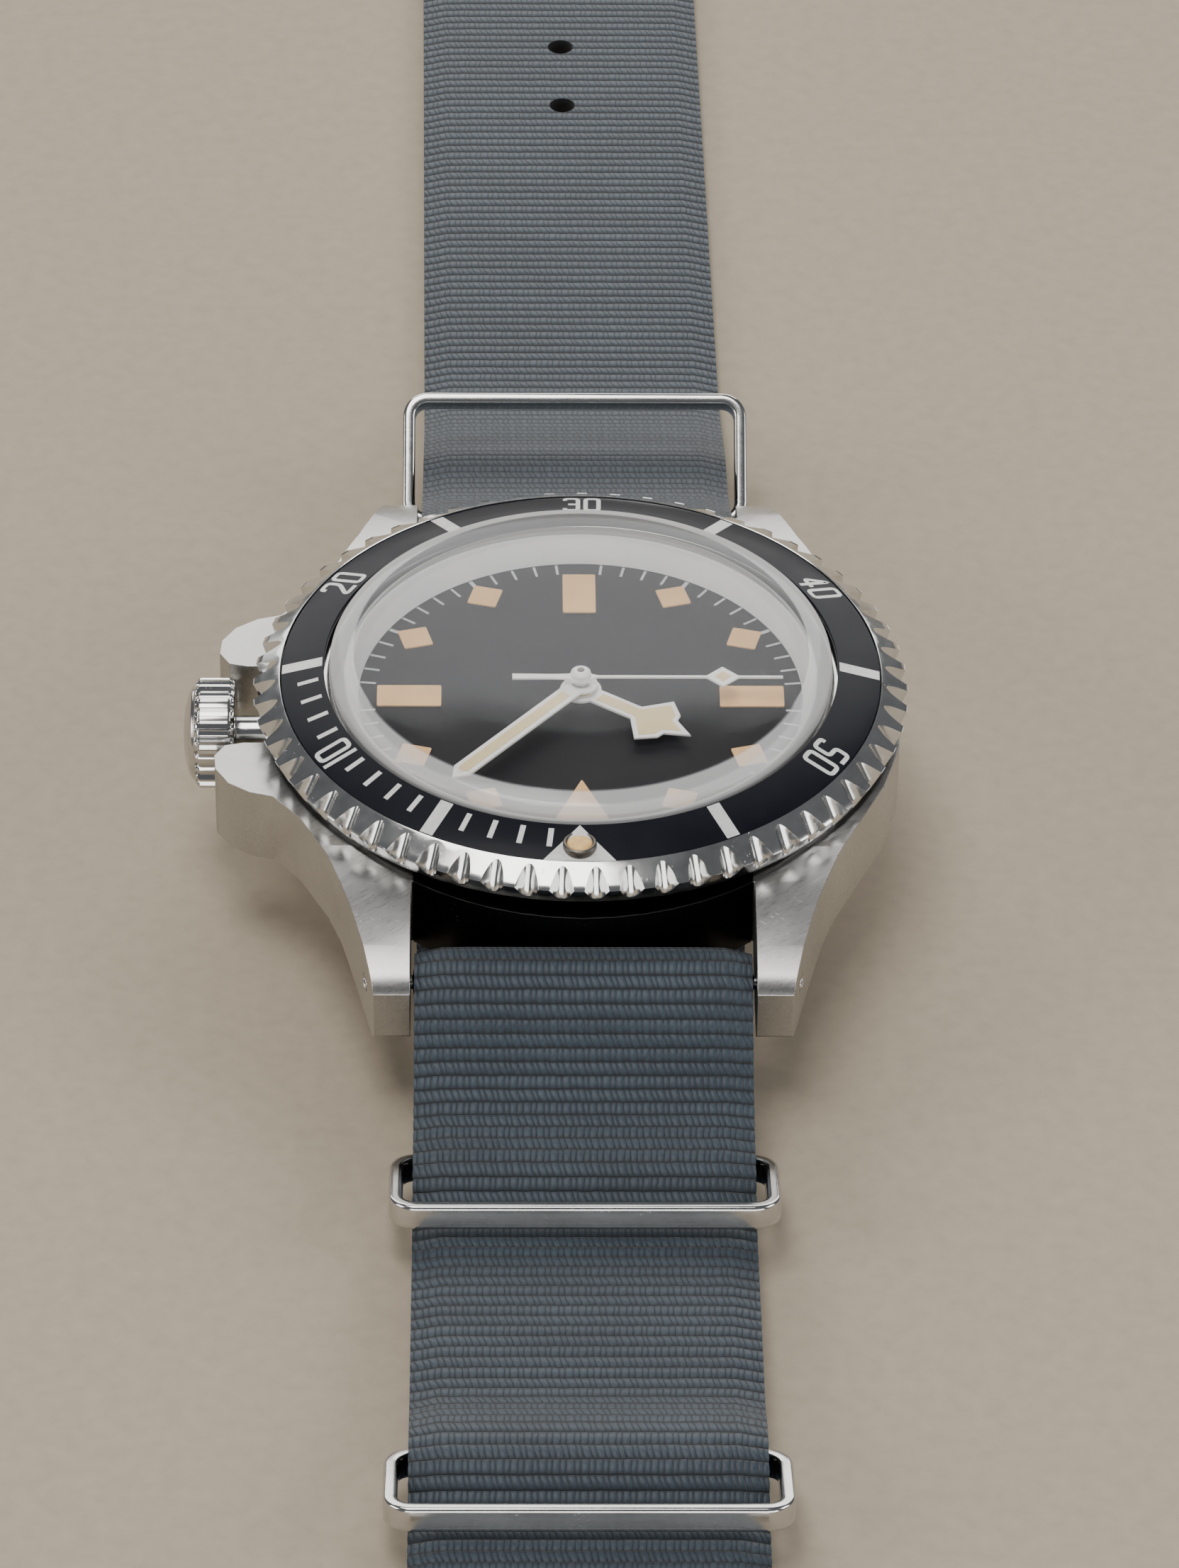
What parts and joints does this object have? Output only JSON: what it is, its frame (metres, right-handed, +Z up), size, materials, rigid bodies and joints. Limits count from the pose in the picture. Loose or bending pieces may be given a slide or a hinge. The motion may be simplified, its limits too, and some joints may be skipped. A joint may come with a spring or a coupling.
{
  "type": "dive watch",
  "caption": "Steel dive watch with a turning bezel, automatic movement and a pull-through nylon strap with steel keepers and a buckle.",
  "frame": {"origin": "on the axis of the hands, in the flat face of the strap under the case that the watch rests on", "axes": "+Z up through the dial, +Y to 12 o'clock along the strap, +X to 3 o'clock and the crown"},
  "size_m": [0.0434, 0.2806, 0.0167],
  "materials": {
    "case_steel": "fine brushed",
    "polished_steel": "polished",
    "acrylic": "clear",
    "dial_black": "matte",
    "insert_black": "gloss",
    "lume": "matte, aged",
    "gasket_rubber": "matte",
    "rhodium": "satin plate",
    "gilt_brass": "gilt",
    "movement_steel": "grained",
    "blued_steel": "blued",
    "hand_white": "satin",
    "strap_nylon": "woven, matte"
  },
  "bodies": {
    "case": {"case_body": "case_steel", "case_back": "polished_steel", "case_back_gasket": "gasket_rubber", "crown_tube": "case_steel", "crystal": "acrylic", "crystal_ring": "polished_steel", "inner_flange": "polished_steel", "dial": "dial_black", "bezel_click_spring": "polished_steel", "spring_bar_12": "case_steel", "spring_bar_6": "case_steel", "main_plate": "rhodium", "movement_ring": "rhodium", "casing_clamp_1": "movement_steel", "casing_clamp_2": "movement_steel", "barrel_bridge": "rhodium", "train_bridge": "rhodium", "balance_cock": "rhodium", "pallet_bridge": "rhodium", "rotor_bridge": "rhodium", "hairspring": "blued_steel", "strap_main": "strap_nylon", "strap_under": "strap_nylon", "buckle_bar": "case_steel"},
    "bezel": {"bezel_ring": "polished_steel", "bezel_insert": "insert_black", "bezel_pip": "lume"},
    "crown_slide": {"crown_gasket": "gasket_rubber"},
    "crown": {"crown": "polished_steel", "winding_stem": "movement_steel"},
    "winding_pinion": {"winding_pinion": "movement_steel"},
    "sliding_pinion": {"sliding_pinion": "movement_steel"},
    "setting_lever": {"setting_lever": "movement_steel"},
    "crown_wheel": {"crown_wheel": "movement_steel"},
    "ratchet": {"ratchet_wheel": "movement_steel", "barrel_arbor": "movement_steel"},
    "click": {"click": "movement_steel"},
    "barrel": {"barrel_drum": "gilt_brass", "mainspring": "blued_steel"},
    "minute": {"center_wheel": "gilt_brass", "cannon_pinion": "movement_steel", "minute_hand": "hand_white"},
    "hour": {"hour_wheel": "gilt_brass", "hour_hand": "hand_white"},
    "minute_wheel": {"minute_wheel": "gilt_brass"},
    "third": {"third_wheel": "gilt_brass", "seconds_drive_wheel": "gilt_brass"},
    "fourth": {"fourth_wheel": "gilt_brass"},
    "seconds": {"seconds_pinion": "movement_steel", "seconds_hand": "hand_white"},
    "escape": {"escape_wheel": "movement_steel"},
    "pallet": {"pallet_fork": "movement_steel"},
    "balance": {"balance_wheel": "gilt_brass"},
    "rotor": {"rotor": "rhodium"},
    "keeper_1": {"keeper_1": "polished_steel"},
    "keeper_2": {"keeper_2": "polished_steel"},
    "keeper_3": {"keeper_3": "polished_steel"},
    "buckle": {"buckle_frame": "case_steel"},
    "tongue": {"buckle_tongue": "case_steel"}
  },
  "joints": [
    {"name": "bezel_turn", "type": "hinge", "parent": "case", "child": "bezel", "pos_m": [0, 0, 0.0125], "axis": [0, 0, 1], "continuous": true},
    {"name": "crown_pull", "type": "slide", "parent": "case", "child": "crown_slide", "axis": [1, 0, 0], "range_m": [0, 0.0024]},
    {"name": "crown_turn", "type": "hinge", "parent": "crown_slide", "child": "crown", "pos_m": [0.022, 0, 0.009], "axis": [1, 0, 0], "continuous": true},
    {"name": "winding_pinion_turn", "type": "hinge", "parent": "case", "child": "winding_pinion", "pos_m": [0.0095, 0, 0.009], "axis": [1, 0, 0], "continuous": true},
    {"name": "sliding_pinion_turn", "type": "hinge", "parent": "case", "child": "sliding_pinion", "pos_m": [0.0081, 0, 0.009], "axis": [1, 0, 0], "continuous": true},
    {"name": "setting_lever_turn", "type": "hinge", "parent": "case", "child": "setting_lever", "pos_m": [0.0109, -0.0027, 0.0082], "axis": [0, 0, 1], "range_deg": [-14, 0]},
    {"name": "crown_wheel_turn", "type": "hinge", "parent": "case", "child": "crown_wheel", "pos_m": [0.0086, 0.00199, 0.0063], "axis": [0, 0, 1], "continuous": true},
    {"name": "ratchet_turn", "type": "hinge", "parent": "case", "child": "ratchet", "pos_m": [0.0029, 0.00502, 0.0063], "axis": [0, 0, 1], "continuous": true},
    {"name": "click_rock", "type": "hinge", "parent": "case", "child": "click", "pos_m": [-0.0026, 0.008, 0.0063], "axis": [0, 0, 1], "range_deg": [-10, 0]},
    {"name": "barrel_turn", "type": "hinge", "parent": "case", "child": "barrel", "pos_m": [0.0029, 0.00502, 0.0084], "axis": [0, 0, 1], "continuous": true},
    {"name": "minute_turn", "type": "hinge", "parent": "case", "child": "minute", "pos_m": [0, 0, 0.0128], "axis": [0, 0, 1], "continuous": true},
    {"name": "hour_turn", "type": "hinge", "parent": "case", "child": "hour", "pos_m": [0, 0, 0.0123], "axis": [0, 0, 1], "continuous": true},
    {"name": "minute_wheel_turn", "type": "hinge", "parent": "case", "child": "minute_wheel", "pos_m": [0.00278, -0.00101, 0.011], "axis": [0, 0, 1], "continuous": true},
    {"name": "third_turn", "type": "hinge", "parent": "case", "child": "third", "pos_m": [-0.00494, -0.0018, 0.0082], "axis": [0, 0, 1], "continuous": true},
    {"name": "fourth_turn", "type": "hinge", "parent": "case", "child": "fourth", "pos_m": [-0.00326, -0.00471, 0.0088], "axis": [0, 0, 1], "continuous": true},
    {"name": "seconds_turn", "type": "hinge", "parent": "case", "child": "seconds", "pos_m": [0, 0, 0.0133], "axis": [0, 0, 1], "continuous": true},
    {"name": "escape_turn", "type": "hinge", "parent": "case", "child": "escape", "pos_m": [-0.00025, -0.00524, 0.0083], "axis": [0, 0, 1], "continuous": true},
    {"name": "pallet_rock", "type": "hinge", "parent": "case", "child": "pallet", "pos_m": [0.00215, -0.00585, 0.0085], "axis": [0, 0, 1], "range_deg": [-5, 5]},
    {"name": "balance_swing", "type": "hinge", "parent": "case", "child": "balance", "pos_m": [0.00425, -0.00645, 0.009], "axis": [0, 0, 1], "range_deg": [-270, 270]},
    {"name": "rotor_turn", "type": "hinge", "parent": "case", "child": "rotor", "pos_m": [0, 0, 0.0051], "axis": [0, 0, 1], "continuous": true},
    {"name": "keeper_1_tilt", "type": "hinge", "parent": "case", "child": "keeper_1", "pos_m": [0, 0.0316, 0.00215], "axis": [1, 0, 0], "range_deg": [0, 75]},
    {"name": "keeper_2_tilt", "type": "hinge", "parent": "case", "child": "keeper_2", "pos_m": [0, 0.0557, 0.00215], "axis": [1, 0, 0], "range_deg": [0, 75]},
    {"name": "keeper_3_tilt", "type": "hinge", "parent": "case", "child": "keeper_3", "pos_m": [0, -0.031, 0.00215], "axis": [1, 0, 0], "range_deg": [-20, 12]},
    {"name": "buckle_tilt", "type": "hinge", "parent": "case", "child": "buckle", "pos_m": [0, 0.077, 0.0019], "axis": [1, 0, 0], "range_deg": [0, 40]},
    {"name": "tongue_tilt", "type": "hinge", "parent": "buckle", "child": "tongue", "pos_m": [0, 0.077, 0.0019], "axis": [1, 0, 0], "range_deg": [0, 60]}
  ],
  "couplings": [
    {"joint": "seconds_turn", "follows": "minute_turn", "ratio": 60},
    {"joint": "third_turn", "follows": "minute_turn", "ratio": -8},
    {"joint": "fourth_turn", "follows": "minute_turn", "ratio": 60},
    {"joint": "escape_turn", "follows": "minute_turn", "ratio": -600},
    {"joint": "barrel_turn", "follows": "minute_turn", "ratio": -0.16667},
    {"joint": "minute_wheel_turn", "follows": "minute_turn", "ratio": -0.33333},
    {"joint": "hour_turn", "follows": "minute_turn", "ratio": 0.083333},
    {"joint": "winding_pinion_turn", "follows": "crown_turn", "ratio": 1},
    {"joint": "sliding_pinion_turn", "follows": "crown_turn", "ratio": 1},
    {"joint": "crown_wheel_turn", "follows": "crown_turn", "ratio": 0.44444},
    {"joint": "ratchet_turn", "follows": "crown_turn", "ratio": -0.21429},
    {"joint": "setting_lever_turn", "follows": "crown_pull", "rad_per_m": -87.266}
  ]
}
